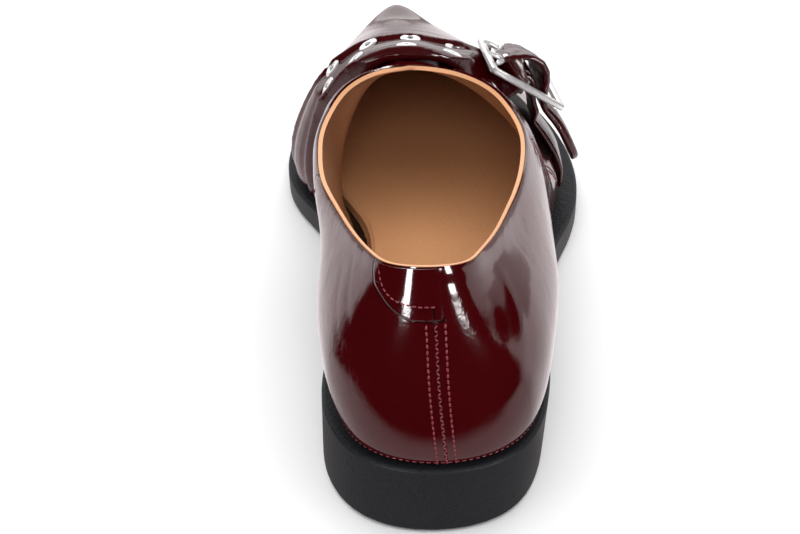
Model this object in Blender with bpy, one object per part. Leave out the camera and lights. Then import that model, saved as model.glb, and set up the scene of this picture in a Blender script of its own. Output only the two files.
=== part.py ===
"""A right-foot loafer with a wide buckled strap, as an assembly of separate solids.

+Y points to the toe, +X to the outer side of the foot and +Z up. The origin is on the floor, under the
middle of the shoe. Tables and sizes are in millimetres, and MM turns them into metres.
"""

import math

import bmesh
import bpy
import numpy as np
from mathutils import Vector

MM = 0.001

# ---------------------------------------------------------------- driving sizes

SOLE_LENGTH = 286.0
HEEL_BACK_X = 0.0
TOE_TIP_X = -8.5
WALL = 2.2
GAP = 0.3
MARGIN_WIDTH = 11.0
INSOLE_THICK = 3.0
HEEL_BREAST = 70.0

HEEL_CENTRE = 33.0
THROAT = 147.0
TOE_CENTRE = 262.0
TOE_LEAN = 24.0

# The sole's top edge seen from above: how far the inner and the outer edge stand from the long axis.
SOLE_PLAN = (
    # y from the heel's back, inner, outer
    (8.0, 21.0, 21.5),
    (36.0, 31.4, 32.0),
    (72.0, 28.2, 33.6),
    (100.0, 24.6, 34.4),
    (130.0, 25.4, 39.6),
    (152.0, 33.4, 46.6),
    (172.0, 43.2, 49.4),
    (190.0, 45.5, 48.2),
    (212.0, 42.0, 42.4),
    (236.0, 35.8, 30.2),
    (258.0, 27.4, 15.6),
    (275.0, 19.0, 2.8),
)

# The sole along its length: height of its top, and the ledge left outside the upper on either side.
SOLE_SIDE = (
    # y, top, inner ledge, outer ledge
    (0.0, 22.0, 1.6, 1.4),
    (34.0, 22.0, 3.8, 1.6),
    (72.0, 18.6, 3.4, 2.0),
    (110.0, 12.6, 3.6, 3.6),
    (150.0, 9.2, 5.8, 6.4),
    (185.0, 8.8, 6.8, 8.0),
    (225.0, 10.2, 5.4, 6.0),
    (286.0, 14.8, 3.2, 3.2),
)

# The underside, level under the heel and the ball, with a raised waist and toe spring.
SOLE_UNDERSIDE = (
    # y, height
    (72.0, 8.6),
    (84.0, 7.0),
    (104.0, 3.0),
    (124.0, 0.35),
    (136.0, 0.0),
    (198.0, 0.0),
    (214.0, 0.5),
    (234.0, 2.2),
    (258.0, 5.0),
    (286.0, 8.2),
)

# The upper's section by side: how far it swells past the feather line, how high above it the widest place
# is, and how full the wall and the crown are drawn, as shares of the way from the swell to the top.
INNER_SECTION = (
    # y, swell, height of the swell, wall fullness, crown fullness
    (0.0, 2.4, 18.0, 0.42, 0.30),
    (34.0, 3.8, 19.0, 0.44, 0.30),
    (72.0, 6.2, 20.0, 0.46, 0.30),
    (100.0, 8.6, 20.0, 0.44, 0.30),
    (130.0, 8.0, 15.0, 0.40, 0.34),
    (152.0, 3.4, 11.0, 0.24, 0.35),
    (175.0, 1.2, 8.0, 0.18, 0.35),
    (205.0, 1.0, 6.5, 0.20, 0.37),
    (240.0, 0.8, 4.5, 0.22, 0.42),
    (282.0, 0.6, 3.5, 0.18, 0.42),
)
OUTER_SECTION = (
    # y, swell, height of the swell, wall fullness, crown fullness
    (0.0, 2.4, 18.0, 0.42, 0.30),
    (34.0, 2.6, 18.0, 0.42, 0.30),
    (72.0, 5.0, 16.0, 0.38, 0.30),
    (100.0, 5.8, 13.0, 0.34, 0.32),
    (130.0, 3.0, 10.0, 0.24, 0.34),
    (152.0, 1.4, 8.0, 0.16, 0.37),
    (175.0, 0.7, 6.5, 0.14, 0.38),
    (205.0, 1.0, 6.0, 0.18, 0.38),
    (240.0, 0.8, 4.5, 0.22, 0.42),
    (282.0, 0.6, 3.5, 0.18, 0.42),
)

# The line of the crown in front of the throat: its height and how far it lies from the long axis.
CROWN = (
    # y, height, x
    (147.0, 67.2, -5.6),
    (155.0, 64.2, -6.3),
    (165.0, 61.0, -7.0),
    (175.0, 57.8, -7.6),
    (190.0, 52.2, -8.4),
    (215.0, 42.0, -9.6),
    (240.0, 31.6, -9.8),
    (262.0, 22.8, -9.2),
)

# The top line of the opening: where it runs on either side, its height, and how the wall stands there
# (degrees from level).
OPENING_BACK = (-1.8, 6.6)
TOP_LINE = (
    # y, inner, outer, height, lean
    (11.5, 11.8, 8.4, 80.4, 74.0),
    (23.0, 17.2, 13.0, 76.8, 72.0),
    (39.0, 21.8, 17.6, 72.4, 68.0),
    (54.0, 25.2, 20.8, 68.6, 66.0),
    (70.0, 29.0, 24.4, 65.6, 68.0),
    (84.0, 32.2, 27.2, 64.1, 70.0),
    (98.0, 33.0, 28.8, 63.4, 70.0),
    (112.0, 32.8, 28.8, 63.3, 64.0),
    (125.0, 29.6, 25.2, 64.2, 50.0),
    (134.5, 25.6, 20.2, 65.5, 34.0),
    (141.2, 19.6, 12.4, 66.4, 20.0),
)


# The wide strap over the forefoot: how far round it a row lies (0 at the inner feather line, 1 on the
# crown, 2 at the outer feather line), the y of its middle, how thick it is and how far it stands off.
STRAP_LINE = (
    # round, y, thickness, stand-off
    (0.0, 175.5, 2.9, 0.45),
    (0.16, 172.5, 3.8, 0.45),
    (0.45, 171.8, 4.8, 1.1),
    (0.70, 168.4, 5.0, 2.6),
    (0.86, 164.2, 5.0, 1.5),
    (1.0, 162.6, 5.0, 0.6),
    (1.12, 164.2, 4.7, 0.9),
    (1.22, 168.2, 3.5, 0.45),
    (1.30, 171.0, 3.2, 0.45),
)
STRAP_HALF = 10.4
STRAP_START, STRAP_LAST = 0.05, 1.20
BACK_STANDS_OFF = 0.35
EYELET_ROW = 6.0
EYELET_DEPTH = 0.53
BACK_ROUND = (0.668, 0.812, 1.006, 1.140)
FRONT_ROUND = (0.712, 0.874, 1.025, 1.158)

# The buckle lies in its own plane on the outer side: along it towards the floor, across it towards the toe.
BUCKLE_MIDDLE = (30.4, 171.6, 49.0)
BUCKLE_ALONG = (0.831, 0.041, -0.554)
BUCKLE_ACROSS = (-0.126, 0.985, -0.117)
BUCKLE_LENGTH = 28.0
BUCKLE_WIDTH = 28.0
BAR = 2.6
BAR_THICK = 2.0
CORNER = 1.6
CHAMFER = 0.5

# The strap's underside in the buckle's plane, from the first bar over the middle bar and under the last
# one to its free end: along, height, and how thick the padding is there.
STRAP_ARCH = (
    (-13.6, -5.0, 3.2),
    (-10.9, -4.7, 3.0),
    (-8.9, -3.0, 2.5),
    (-7.9, 0.0, 2.4),
    (-6.9, 2.8, 2.4),
    (-5.3, 4.5, 2.4),
    (-3.1, 5.5, 2.4),
    (-0.8, 5.8, 2.4),
    (1.5, 5.3, 2.4),
    (3.6, 3.8, 2.4),
    (5.2, 1.4, 2.4),
    (6.6, -1.4, 2.4),
    (8.4, -4.0, 2.6),
    (11.2, -5.6, 2.8),
    (14.6, -6.8, 3.0),
    (18.4, -8.6, 3.1),
    (22.4, -10.9, 3.1),
    (26.2, -13.4, 3.0),
    (29.8, -16.0, 2.8),
)
ARCH_TILT = -0.20
TAIL_ROUND = 6.5

# The strap's section: three soft rolls, with the two rows of eyelets sunk between them.
ROLLS = (
    # across, height, as shares of half the width and of the thickness
    (-1.0, 0.35),
    (-0.95, 0.72),
    (-0.81, 0.98),
    (-0.56, 0.70),
    (-0.28, 0.94),
    (0.0, 1.0),
    (0.28, 0.94),
    (0.56, 0.70),
    (0.81, 0.98),
    (0.95, 0.72),
    (1.0, 0.35),
    (0.93, 0.0),
    (0.0, 0.0),
    (-0.93, 0.0),
)

# Eyelets and the pockets that they sit in, as profiles of radius and height: large ones, and small ones
# at the prongs, which cross the strap PRONG_ROW from its middle.
FLANGE = 3.7
EYELET = ((1.7, -1.2), (2.3, -1.2), (2.3, 0.3), (FLANGE, 0.3), (3.3, 1.0), (1.9, 1.0))
POCKET = ((0.0, -7.0), (2.6, -7.0), (2.6, 0.0), (FLANGE + 0.35, 0.0), (FLANGE + 0.35, 4.0), (0.0, 4.0))
SMALL_EYELET = ((2.0, -1.0), (2.4, -1.0), (2.4, 0.3), (2.9, 0.3), (2.75, 0.75), (2.1, 0.75))
SMALL_POCKET = ((0.0, -6.0), (2.7, -6.0), (2.7, 0.0), (3.25, 0.0), (3.25, 3.0), (0.0, 3.0))
PRONG_ROW = 5.3
PRONG_SEAT = 2.0
PRONG_STOPS = {"back": 9.6, "front": 10.6}

# A prong from the ring round the middle bar to its tip on the first bar.
PRONG_PATH = (
    # along, height
    (-1.9, 0.5),
    (-4.5, 1.6),
    (-8.4, 2.3),
    (-12.2, 2.6),
    (-14.4, 2.5),
)
PRONG_RADIUS, PRONG_TIP = 0.85, 0.55
PRONG_RING = ((1.35, -1.1), (2.3, -1.1), (2.3, 1.1), (1.35, 1.1))
BAR_RADIUS = 1.0

# The short strap: a hook over the middle bar, then down the outer side to the feather line.
SHORT_HOOK = (
    # along, height
    (1.2, -2.5),
    (-0.9, -2.0),
    (-1.8, -0.5),
    (-1.4, 1.0),
    (0.0, 1.6),
    (1.6, 1.0),
    (3.4, -1.4),
    (5.6, -4.6),
    (8.4, -7.0),
)
SHORT_HALF = 8.6
SHORT_THICK = 1.6
SHORT_ROUND = (1.475, 1.93)
SHORT_Y = (171.8, 172.6)
SHORT_SLOT = ((-4.5, -3.6), (4.0, -3.6), (4.0, 4.0), (-4.5, 4.0))
SLOT_HALF = 1.5
FLAT = (
    # across, height, as shares of half the width and of the thickness
    (-1.0, 0.25),
    (-0.96, 1.0),
    (0.0, 1.0),
    (0.96, 1.0),
    (1.0, 0.25),
    (0.96, 0.0),
    (0.0, 0.0),
    (-0.96, 0.0),
)

# The flap at the back: its edge from the top line on the inner side to the back seam.
HEEL_TAB = (
    # degrees round the heel from the outer side, how far up the wall its lower edge lies
    (-122.0, 0.985),
    (-118.0, 0.90),
    (-113.0, 0.845),
    (-106.0, 0.81),
    (-98.0, 0.795),
    (-88.0, 0.79),
    (-82.0, 0.79),
)
TAB_THICK = 0.9
TAB_THINS = 0.65
TAB_TOP = 0.995


# ---------------------------------------------------------------- curves


def spline(knots, values, closed=False):
    """A cubic curve with no jump in its bend through a row of values at each rising knot."""
    knots = np.asarray(knots, float)
    values = np.asarray(values, float).reshape(len(knots), -1)
    step = np.diff(knots)
    slope = np.diff(values, axis=0) / step[:, None]
    last = len(knots) - 1
    matrix, right = np.eye(last + 1), np.zeros_like(values)
    for i in range(1, last):
        matrix[i, i - 1 : i + 2] = step[i - 1], 2 * (step[i - 1] + step[i]), step[i]
        right[i] = 6 * (slope[i] - slope[i - 1])
    if closed:
        matrix[0, [0, 1, last - 1]] = 2 * (step[-1] + step[0]), step[0], step[-1]
        right[0] = 6 * (slope[0] - slope[-1])
        matrix[last, 0] = -1
    bend = np.linalg.solve(matrix, right)

    def at(x):
        x = np.atleast_1d(np.asarray(x, float))
        i = np.clip(np.searchsorted(knots, x) - 1, 0, last - 1)
        h = step[i][:, None]
        a, b = (knots[i + 1] - x)[:, None], (x - knots[i])[:, None]
        return (
            (bend[i] * a**3 + bend[i + 1] * b**3) / (6 * h)
            + (values[i] / h - bend[i] * h / 6) * a
            + (values[i + 1] / h - bend[i + 1] * h / 6) * b
        )

    return at


def steady(table, index):
    """One column of a table as a function of its first that never overshoots a row."""
    rows = np.asarray(table, float)
    x, y = rows[:, 0], rows[:, index]
    step = np.diff(x)
    slope = np.diff(y) / step
    tangent = np.zeros(len(x))
    for i in range(1, len(x) - 1):
        if slope[i - 1] * slope[i] > 0:
            a, b = 2 * step[i] + step[i - 1], step[i] + 2 * step[i - 1]
            tangent[i] = (a + b) / (a / slope[i - 1] + b / slope[i])
    tangent[0], tangent[-1] = slope[0], slope[-1]

    def at(where):
        where = min(max(where, x[0]), x[-1])
        i = min(max(int(np.searchsorted(x, where)) - 1, 0), len(step) - 1)
        t, h = (where - x[i]) / step[i], step[i]
        return float(
            y[i] * (1 + 2 * t) * (1 - t) ** 2
            + tangent[i] * h * t * (1 - t) ** 2
            + y[i + 1] * t * t * (3 - 2 * t)
            - tangent[i + 1] * h * t * t * (1 - t)
        )

    return at


def smooth(table, index):
    """One column of a table as a cubic curve of its first, held level past both ends."""
    rows = np.asarray(table, float)
    curve = spline(rows[:, 0], rows[:, index])
    return lambda y: float(curve(min(max(y, rows[0, 0]), rows[-1, 0]))[0, 0])


sole_top = smooth(SOLE_SIDE, 1)
inner_ledge, outer_ledge = steady(SOLE_SIDE, 2), steady(SOLE_SIDE, 3)
waist_under = steady(SOLE_UNDERSIDE, 1)
inner_side = [steady(INNER_SECTION, i) for i in (1, 2, 3, 4)]
outer_side = [steady(OUTER_SECTION, i) for i in (1, 2, 3, 4)]
crown_z, crown_x = smooth(CROWN, 1), smooth(CROWN, 2)
TOP_HEIGHT = ((OPENING_BACK[1], 82.2), *((row[0], row[3]) for row in TOP_LINE), (THROAT, CROWN[0][1]))
top_line = smooth(TOP_HEIGHT, 1)
top_lean = steady(((OPENING_BACK[1], 76.0), *((row[0], row[4]) for row in TOP_LINE), (THROAT, 0.0)), 1)


def spine_x(y):
    """The axis that the spokes start from: under the crown, and under the middle of the opening behind it."""
    back = OPENING_BACK[0]
    share = min(max((y - HEEL_CENTRE) / (THROAT - HEEL_CENTRE), 0.0), 1.0)
    return crown_x(y) if y >= THROAT else back + (CROWN[0][2] - back) * share * share * (3 - 2 * share)


def sole_under(y):
    return 0.0 if y < HEEL_BREAST else waist_under(y)


def outline(back, sides, front, samples=480):
    """A closed outline from the back by the outer side to the front and home by the inner side."""
    outer = [(row[2], row[0]) for row in sides]
    inner = [(-row[1], row[0]) for row in sides]
    points = np.array([back, *outer, front, *inner[::-1], back])
    knots = np.concatenate([[0], np.cumsum(np.linalg.norm(np.diff(points, axis=0), axis=1) ** 0.8)])
    return spline(knots, points, closed=True)(np.linspace(0, knots[-1], samples, endpoint=False))


def inset(edge, by):
    """The outline moved inwards by a distance that changes with y and with the way that the edge faces."""
    along = np.roll(edge, -1, axis=0) - np.roll(edge, 1, axis=0)
    outwards = np.stack([along[:, 1], -along[:, 0]], axis=1)
    outwards /= np.linalg.norm(outwards, axis=1)[:, None]
    distance = np.array([by(y, outward) for y, outward in zip(edge[:, 1], outwards[:, 0])])
    return edge - outwards * distance[:, None]


def reach(edge, centre, ray):
    """How far a ray from centre runs before it meets the outline."""
    side = np.array([-ray[1], ray[0]])
    start, end = edge - centre, np.roll(edge, -1, axis=0) - centre
    from_side, to_side = start @ side, end @ side
    cross = np.nonzero((from_side <= 0) != (to_side <= 0))[0]
    share = from_side[cross] / (from_side[cross] - to_side[cross])
    along = (start[cross] @ ray) * (1 - share) + (end[cross] @ ray) * share
    return float(along[along > 0].min())


def bezier(a, b, c, d, t):
    return a * (1 - t) ** 3 + 3 * b * t * (1 - t) ** 2 + 3 * c * t * t * (1 - t) + d * t**3


def ledge(y, outward):
    share = 0.5 + 0.5 * outward
    return inner_ledge(y) * (1 - share) + outer_ledge(y) * share


SOLE_EDGE = outline((HEEL_BACK_X, 0.0), SOLE_PLAN, (TOE_TIP_X, SOLE_LENGTH))
FEATHER_EDGE = inset(SOLE_EDGE, ledge)
OPENING_EDGE = outline(OPENING_BACK, TOP_LINE, (CROWN[0][2], THROAT))


# ---------------------------------------------------------------- spokes
# Every large form is drawn over the same spokes: they fan round the heel, cross the shoe at right angles
# to its axis along both sides, and fan round the toe.


class Spoke:
    def __init__(self, y, angle):
        self.centre = np.array([spine_x(y), y])
        self.ray = np.array([math.cos(angle), math.sin(angle)])
        self.outward = self.ray[0]
        self.sole = reach(SOLE_EDGE, self.centre, self.ray)
        self.feather = reach(FEATHER_EDGE, self.centre, self.ray)
        self.y = self.centre[1] + self.ray[1] * self.feather
        self.open = y < THROAT
        if self.open:
            self.top = reach(OPENING_EDGE, self.centre, self.ray)
            top_y = self.centre[1] + self.ray[1] * self.top
            self.top_z, self.lean = top_line(top_y), math.radians(top_lean(top_y))
        else:
            self.top, self.top_z = 0.0, crown_z(y)
            self.lean = math.radians(TOE_LEAN) * max(self.ray[1], 0.0)

    def at(self, radius, z):
        x, y = self.centre + self.ray * radius
        return np.array([x, y, z])

    def section(self):
        """Swell, its height, wall fullness and crown fullness, blended round the heel and the toe."""
        share = 0.5 + 0.5 * self.outward
        return [i(self.y) * (1 - share) + o(self.y) * share for i, o in zip(inner_side, outer_side)]

    def skin(self, t):
        """A point of the upper's outer face: t is 0 at the feather line and 1 on the top line or the crown."""
        swell, rise, wall, crown = self.section()
        base = sole_top(self.y) + GAP
        wide, wide_z = self.feather + swell, base + rise
        turn = 0.24
        if t < turn:
            s = t / turn
            radius = bezier(self.feather, self.feather + 0.75 * swell, wide, wide, s)
            z = bezier(base, base + 0.30 * rise, base + 0.65 * rise, wide_z, s)
        else:
            s = (t - turn) / (1 - turn)
            span = math.hypot(wide - self.top, self.top_z - wide_z)
            arm, fall = crown * span * math.cos(self.lean), crown * span * math.sin(self.lean)
            radius = bezier(wide, wide, self.top + arm, self.top, s)
            z = bezier(wide_z, wide_z + wall * span, self.top_z - fall, self.top_z, s)
        return self.at(radius, z)


def spread(start, end, count):
    return [start + (end - start) * i / count for i in range(1, count)]


SIDE_Y = sorted(
    {*spread(HEEL_CENTRE, HEEL_BREAST - 2, 4), HEEL_BREAST - 2, HEEL_BREAST + 2}
    | {*spread(HEEL_BREAST + 2, 125.0, 6), 125.0, 132.0, 137.5, 141.5, 144.5, THROAT}
    | {*spread(THROAT, TOE_CENTRE, 12), HEEL_CENTRE, TOE_CENTRE}
)
HEEL_FAN, TOE_FAN = 8, 6
SPOKES = (
    [Spoke(HEEL_CENTRE, -math.pi / 2 + math.pi / 2 * i / HEEL_FAN) for i in range(HEEL_FAN)]
    + [Spoke(y, 0.0) for y in SIDE_Y]
    + [Spoke(TOE_CENTRE, math.pi * i / (2 * TOE_FAN)) for i in range(1, 2 * TOE_FAN)]
    + [Spoke(y, math.pi) for y in SIDE_Y[::-1]]
    + [Spoke(HEEL_CENTRE, math.pi + math.pi / 2 * i / HEEL_FAN) for i in range(1, HEEL_FAN)]
)


# ---------------------------------------------------------------- mesh helpers

ORIGIN = Vector((2.0, 142.5, 0.0))
MERGE = 0.02


def material(name, colour, roughness, metallic=0.0):
    made = bpy.data.materials.new(name)
    made.use_nodes = True
    surface = made.node_tree.nodes["Principled BSDF"]
    surface.inputs["Base Color"].default_value = (*colour, 1.0)
    surface.inputs["Roughness"].default_value = roughness
    surface.inputs["Metallic"].default_value = metallic
    return made


def body(name, rings, made_of, ends="drawn in", whole=lambda row, place: True):
    """One closed body through rings of points that follow each other.

    Its ends are drawn in to a line or a point, capped, or joined to each other. Where it isn't whole, a
    face is left out and the points on either side of it meet.
    """
    mesh = bmesh.new()
    rows = [[mesh.verts.new(Vector(point) * MM) for point in ring] for ring in rings]
    following = rows[1:] + (rows[:1] if ends == "joined" else [])
    for number, (row, after) in enumerate(zip(rows, following)):
        for i in range(len(row)):
            j = (i + 1) % len(row)
            if whole(number, i):
                mesh.faces.new((row[i], row[j], after[j], after[i]))
    if ends == "capped":
        mesh.faces.new(rows[0])
        mesh.faces.new(rows[-1][::-1])
    return finish(name, mesh, made_of)


def finish(name, mesh, made_of):
    bmesh.ops.remove_doubles(mesh, verts=mesh.verts, dist=MERGE * MM)
    bmesh.ops.dissolve_degenerate(mesh, edges=mesh.edges, dist=MERGE * MM)
    bmesh.ops.recalc_face_normals(mesh, faces=mesh.faces)
    if mesh.calc_volume(signed=True) < 0:
        bmesh.ops.reverse_faces(mesh, faces=mesh.faces)
    data = bpy.data.meshes.new(name)
    mesh.to_mesh(data)
    mesh.free()
    data.materials.append(made_of)
    piece = bpy.data.objects.new(name, data)
    piece.location = ORIGIN * -MM
    bpy.context.scene.collection.objects.link(piece)
    return piece


def turned(name, foot, axis, profile, made_of, around):
    """A closed body turned about an axis through foot, from a closed profile of radius and height."""
    axis = axis / np.linalg.norm(axis)
    side = np.cross(axis, (0.0, 1.0, 0.0) if abs(axis[1]) < 0.9 else (1.0, 0.0, 0.0))
    side /= np.linalg.norm(side)
    other = np.cross(axis, side)
    turns = [2 * math.pi * i / around for i in range(around)]
    rings = [
        [foot + axis * height + (side * math.cos(turn) + other * math.sin(turn)) * radius for turn in turns]
        for radius, height in profile
    ]
    return body(name, rings, made_of, ends="joined")


def cutter(piece):
    piece.hide_render = True
    piece.display_type = "WIRE"
    return piece


def cut(piece, tool, operation="DIFFERENCE"):
    made = piece.modifiers.new(tool.name, "BOOLEAN")
    made.operation = operation
    made.solver = "EXACT"
    made.object = cutter(tool)


for leftover in list(bpy.data.objects):
    bpy.data.objects.remove(leftover, do_unlink=True)

RUBBER = material("black rubber", (0.016, 0.017, 0.018), 0.55)
PATENT = material("burgundy patent leather", (0.090, 0.004, 0.010), 0.12)
INSOLE = material("tan insole leather", (0.52, 0.26, 0.13), 0.50)
STEEL = material("polished steel", (0.80, 0.80, 0.81), 0.12, 1.0)


# ---------------------------------------------------------------- sole
# One moulded piece with its heel. The wall leans in a little towards the floor, more on the outer side.


def sole_ring(shrink, height):
    ring = []
    for spoke in SPOKES:
        radius = spoke.sole - shrink(spoke)
        y = spoke.centre[1] + spoke.ray[1] * radius
        ring.append(spoke.at(radius, height(y)))
    return ring


def lean(spoke):
    """The wall stands upright at the ball and leans in at the heel."""
    share = min(max((110.0 - spoke.y) / 50.0, 0.0), 1.0)
    return 0.2 + share * (0.7 + 1.0 * spoke.outward - 0.8 * min(spoke.ray[1], 0.0))


def spine_ring(height, inward=0.0):
    return [spoke.at(spoke.sole * inward, height(spoke.centre[1])) for spoke in SPOKES]


body(
    "sole",
    [
        spine_ring(sole_top),
        spine_ring(sole_top, 0.5),
        sole_ring(lambda s: 0.9, sole_top),
        sole_ring(lambda s: 0.0, lambda y: sole_top(y) - 0.8),
        sole_ring(lean, lambda y: sole_under(y) + 1.2),
        sole_ring(lambda s: lean(s) + 1.2, sole_under),
        spine_ring(sole_under, 0.5),
        spine_ring(sole_under),
    ],
    RUBBER,
)


# ---------------------------------------------------------------- upper
# One hollow shell: closed over the forefoot, open along the top line, and turned in under the insole.

ROWS = 10


def outer_face():
    """Rows of points from the turned-in margin up the wall to the top line or the crown."""
    grid = []
    for spoke in SPOKES:
        base = sole_top(spoke.y) + GAP
        column = [
            spoke.at(spoke.feather - MARGIN_WIDTH, base),
            spoke.at(spoke.feather - 0.8, base),
        ]
        column += [spoke.skin(0.03 + 0.97 * (i / ROWS) ** 1.08) for i in range(ROWS + 1)]
        grid.append(column)
    return np.array(grid)


def normals(grid):
    """Unit normals over a grid that closes on itself round its first axis."""
    across = np.roll(grid, -1, axis=0) - np.roll(grid, 1, axis=0)
    along = np.gradient(grid, axis=1)
    normal = np.cross(across, along)
    length = np.linalg.norm(normal, axis=2, keepdims=True)
    return np.where(length > 1e-9, normal / np.maximum(length, 1e-9), np.array([0.0, 0.0, 1.0]))


def inner_face(grid, thick):
    """The outer face set back by the wall's thickness, with the two sides meeting evenly over the crown."""
    normal = normals(grid)
    crest = [i for i, spoke in enumerate(SPOKES) if not spoke.open]
    for i in crest:
        same = [j for j in crest if np.allclose(grid[j, -1], grid[i, -1], atol=1e-6)]
        mean = sum(normal[j, -1] for j in same)
        for j in same:
            normal[j, -1] = mean / np.linalg.norm(mean)
    return grid - normal * thick


def upper_shell():
    outer = outer_face()
    inner = inner_face(outer, WALL)
    for i, spoke in enumerate(SPOKES):
        base = sole_top(spoke.y) + GAP
        inner[i, 0] = spoke.at(spoke.feather - MARGIN_WIDTH, base + WALL)
        inner[i, 1] = spoke.at(spoke.feather - WALL - 0.4, base + WALL)
        inner[i, 2][2] = max(inner[i, 2][2], base + WALL + 0.5)
    rings = [outer[:, k] for k in range(outer.shape[1])]
    rings += [inner[:, k] for k in range(inner.shape[1])][::-1]
    return rings


def has_edge(row, place):
    """The top line's edge joins the two faces of the wall, but over the forefoot the crown is closed."""
    closed_here = not SPOKES[place].open and not SPOKES[(place + 1) % len(SPOKES)].open
    return not (closed_here and row == len(outer_face()[0]) - 1)


body("upper", upper_shell(), PATENT, ends="joined", whole=has_edge)


# ---------------------------------------------------------------- insole
# A thin board with its leather cover, lying on the upper's turned-in margin.


def insole_ring(shrink, height):
    """It stops short of the toe, where the crown comes down on it."""
    ring = []
    for spoke in SPOKES:
        narrow = 2.5 * min(max((spoke.y - 230.0) / 30.0, 0.0), 1.0)
        radius = spoke.feather - WALL - 0.9 - shrink - narrow - 16.0 * max(spoke.ray[1], 0.0)
        radius = max(radius, 0.5 - 0.05 * shrink)
        ring.append(spoke.at(radius, height(spoke.centre[1] + spoke.ray[1] * radius)))
    return ring


def seat(y):
    """The insole's underside, a little higher at its tip, where the sole bends up."""
    return sole_top(y) + WALL + 2 * GAP + 0.25 * min(max((y - 240.0) / 20.0, 0.0), 1.0)


def insole_top(y):
    return seat(y) + INSOLE_THICK * (1.0 - 0.58 * min(max((y - 215.0) / 45.0, 0.0), 1.0))


body(
    "insole",
    [
        [spoke.at(0.0, insole_top(spoke.centre[1])) for spoke in SPOKES],
        insole_ring(8.0, insole_top),
        insole_ring(0.8, insole_top),
        insole_ring(0.0, lambda y: insole_top(y) - 0.7),
        insole_ring(0.0, seat),
        [spoke.at(0.0, seat(spoke.centre[1])) for spoke in SPOKES],
    ],
    INSOLE,
)


# ---------------------------------------------------------------- heel tab
# The flap of the outer quarter that is stitched over the back seam, thinning out towards its own side.


def heel_tab():
    low = steady(HEEL_TAB, 1)
    first, last = HEEL_TAB[0][0], HEEL_TAB[-1][0]
    columns = []
    for i in range(11):
        angle = first + (last - first) * i / 10
        spokes = [Spoke(HEEL_CENTRE, math.radians(angle + turn)) for turn in (-1, 0, 1)]
        thick = TAB_THICK * (1 - TAB_THINS * i / 10)
        bottom = low(angle)
        face = []
        for k in range(5):
            share = bottom + (TAB_TOP - bottom) * k / 4
            here = spokes[1].skin(share)
            around = spokes[2].skin(share) - spokes[0].skin(share)
            up = spokes[1].skin(share + 0.004) - spokes[1].skin(share - 0.004)
            normal = np.cross(around, up)
            normal /= np.linalg.norm(normal)
            face.append((here + normal * GAP, here + normal * (GAP + thick)))
        columns.append([pair[0] for pair in face] + [pair[1] for pair in face[::-1]])
    return columns


body("heel_tab", heel_tab(), PATENT, ends="capped")


# ---------------------------------------------------------------- straps


def over_forefoot(round_, y):
    """A point of the upper's outer face in front of the throat, by how far round it lies."""
    return Spoke(y, math.pi).skin(round_) if round_ <= 1 else Spoke(y, 0.0).skin(2 - round_)


def stand_off(round_, y, height):
    """The same point lifted straight off the face."""
    step = 0.012
    here = over_forefoot(round_, y)
    low, high = max(round_ - step, 0.005), min(round_ + step, 1.995)
    around = over_forefoot(high, y) - over_forefoot(low, y)
    along = over_forefoot(round_, y + 0.6) - over_forefoot(round_, y - 0.6)
    normal = np.cross(around, along)
    return here + normal / np.linalg.norm(normal) * height


strap_y, strap_thick, strap_off = (steady(STRAP_LINE, i) for i in (1, 2, 3))
STAND_OFF_LEAST = STRAP_LINE[0][3]
MIDDLE = np.array(BUCKLE_MIDDLE)
ALONG = np.array(BUCKLE_ALONG) / np.linalg.norm(BUCKLE_ALONG)
ACROSS = np.array(BUCKLE_ACROSS) - ALONG * (np.array(BUCKLE_ACROSS) @ ALONG)
ACROSS /= np.linalg.norm(ACROSS)
ABOVE = np.cross(ALONG, ACROSS)


def on_buckle(along, across, above):
    return MIDDLE + ALONG * along + ACROSS * across + ABOVE * above


def strap_on_foot(round_, share, height):
    lift = STAND_OFF_LEAST + (strap_off(round_) - STAND_OFF_LEAST) * (1 - BACK_STANDS_OFF * share)
    return stand_off(round_, strap_y(round_) + share * STRAP_HALF, lift + height)


def arch_at(share):
    """Along, height, thickness and the upward normal of the strap's underside in the buckle's plane."""
    a, b, thick = arch_curve(share)[0]
    da, db, _ = arch_curve(share + 0.05)[0] - arch_curve(share - 0.05)[0]
    length = math.hypot(da, db)
    return a, b, thick, -db / length, da / length


arch_knots = np.concatenate(
    [[0], np.cumsum(np.linalg.norm(np.diff(np.array(STRAP_ARCH)[:, :2], axis=0), axis=1))]
)
arch_curve = spline(arch_knots, np.array(STRAP_ARCH))
ARCH_END = arch_knots[-1]


def strap_on_arch(distance, share, height, half=1.0):
    a, b, _, na, nb = arch_at(min(max(distance, 0.06), ARCH_END - 0.06))
    across = share * half * STRAP_HALF
    rise = ARCH_TILT * across * min(max((b + 3.0) / 8.0, 0.0), 1.0)
    return on_buckle(a + na * height, across, b + rise + nb * height)


def strap_rings():
    rings = []
    for i in range(17):
        round_ = STRAP_START + (STRAP_LAST - STRAP_START) * i / 16
        pad = strap_thick(round_)
        rings.append([strap_on_foot(round_, share, pad * height) for share, height in ROLLS])
    stops = [ARCH_END * i / 20 for i in range(18)] + [ARCH_END - x for x in (4.4, 2.4, 1.0, 0.0)]
    for stop in stops:
        left = ARCH_END - stop
        half = math.sqrt(max(1 - (1 - min(left / TAIL_ROUND, 1.0)) ** 2, 0.10))
        pad = arch_at(min(max(stop, 0.06), ARCH_END - 0.06))[2] * (1.0 if left > 1.4 else 0.75 + 0.18 * left)
        rings.append([strap_on_arch(stop, share, pad * height, half) for share, height in ROLLS])
    return rings


strap = body("strap", strap_rings(), PATENT, ends="capped")


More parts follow.
